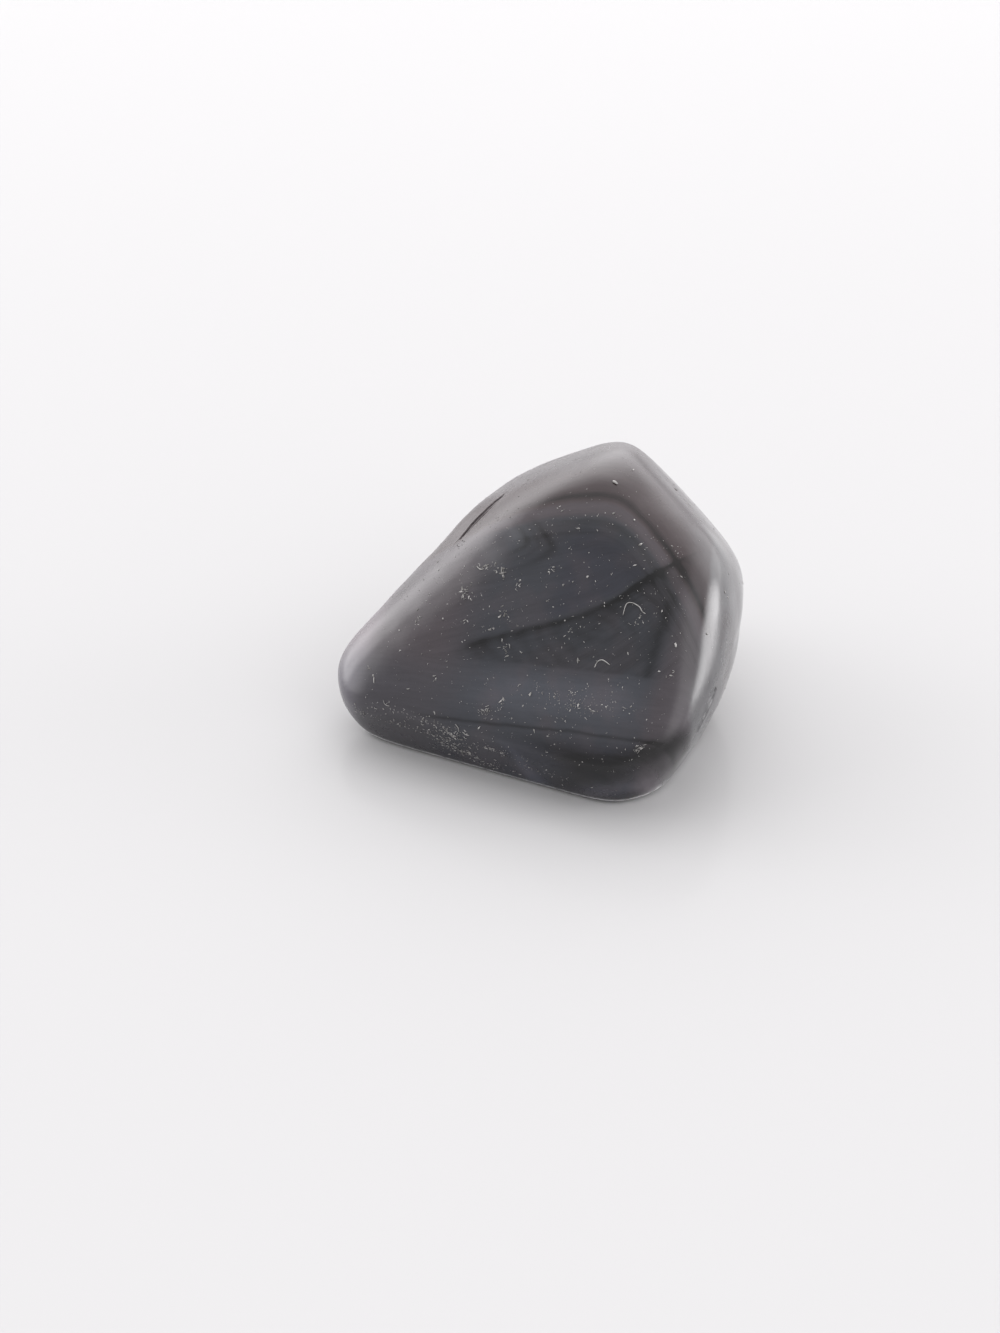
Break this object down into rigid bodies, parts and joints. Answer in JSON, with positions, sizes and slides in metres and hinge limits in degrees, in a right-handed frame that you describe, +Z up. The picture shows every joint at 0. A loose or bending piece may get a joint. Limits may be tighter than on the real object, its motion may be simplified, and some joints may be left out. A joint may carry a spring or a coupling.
{
  "type": "tumbled obsidian stone",
  "caption": "Small tumble-polished stone of dark volcanic glass, wedge shaped with a broad sloping face, soft worn ridges, fine flow banding and a flat belly to rest on.",
  "frame": {"origin": "on the resting surface, under the middle of the stone's outline", "axes": "+Z up; +X along the stone's long side, away from the nose; the broad sloping face looks toward -Y; the steep back looks toward +Y"},
  "size_m": [0.0276, 0.0248, 0.0176],
  "materials": {
    "obsidian": "tumble-polished volcanic glass, opaque slate black with brown and grey flow bands",
    "dust": "loose pale grey dust grains lying on the stone",
    "lint": "fine pale lint curls lying on the stone"
  },
  "bodies": {
    "root": {"stone": "obsidian"}
  },
  "joints": []
}
